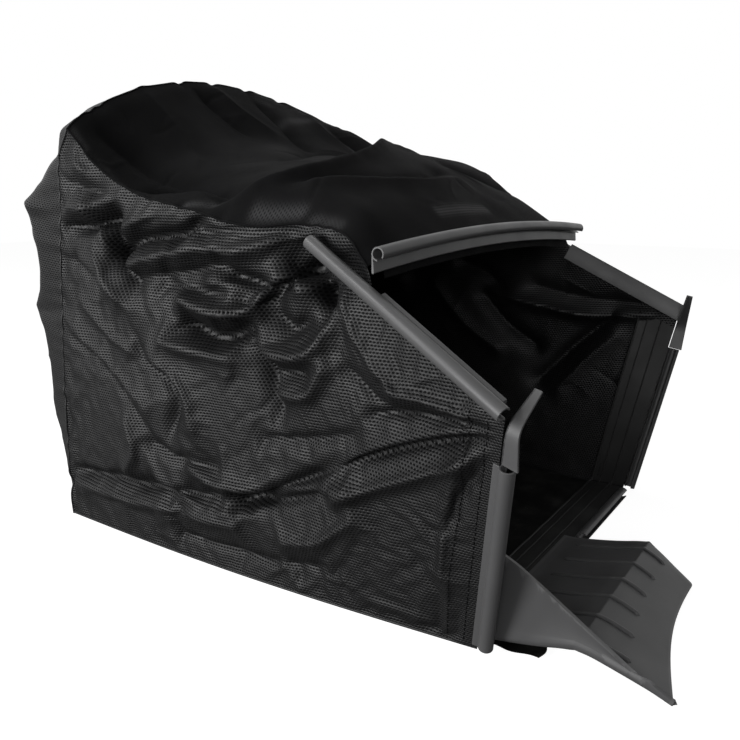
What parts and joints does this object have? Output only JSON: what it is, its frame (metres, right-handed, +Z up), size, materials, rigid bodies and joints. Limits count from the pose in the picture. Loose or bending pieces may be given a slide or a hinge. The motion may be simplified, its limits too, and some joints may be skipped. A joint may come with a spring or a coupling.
{
  "type": "mower grass collection bag",
  "caption": "Soft grass collection bag with a mesh body, a smooth top, a clipped mouth opening and a ribbed plastic chute at its lower edge",
  "frame": {"origin": "centre of the flat base between the mouth's lower edge and the rear seam, on the ground", "axes": "+X out of the mouth, +Y to the bag's left as seen from behind it looking towards the mouth, +Z up"},
  "size_m": [0.691, 0.478, 0.4371],
  "materials": {
    "mesh": "coarse woven polyester mesh, slightly shiny",
    "cloth": "close woven matte polyester",
    "vinyl": "smooth black vinyl-coated cloth, satin",
    "plastic": "moulded dark gray plastic, satin"
  },
  "bodies": {
    "root": {"side_panel_right": "mesh", "side_panel_left": "mesh", "rear_panel": "mesh", "top_panel": "cloth", "top_hem": "cloth", "bottom_panel": "vinyl", "mouth_band_right": "vinyl", "mouth_band_left": "vinyl", "mouth_band_bottom": "vinyl", "chute_flap": "vinyl", "upper_clip_right": "plastic", "upper_clip_left": "plastic", "lower_clip_right": "plastic", "lower_clip_left": "plastic", "bottom_clip": "plastic", "top_clip": "plastic", "shoulder_tab_right": "plastic", "shoulder_tab_left": "plastic", "chute": "plastic"}
  },
  "joints": []
}
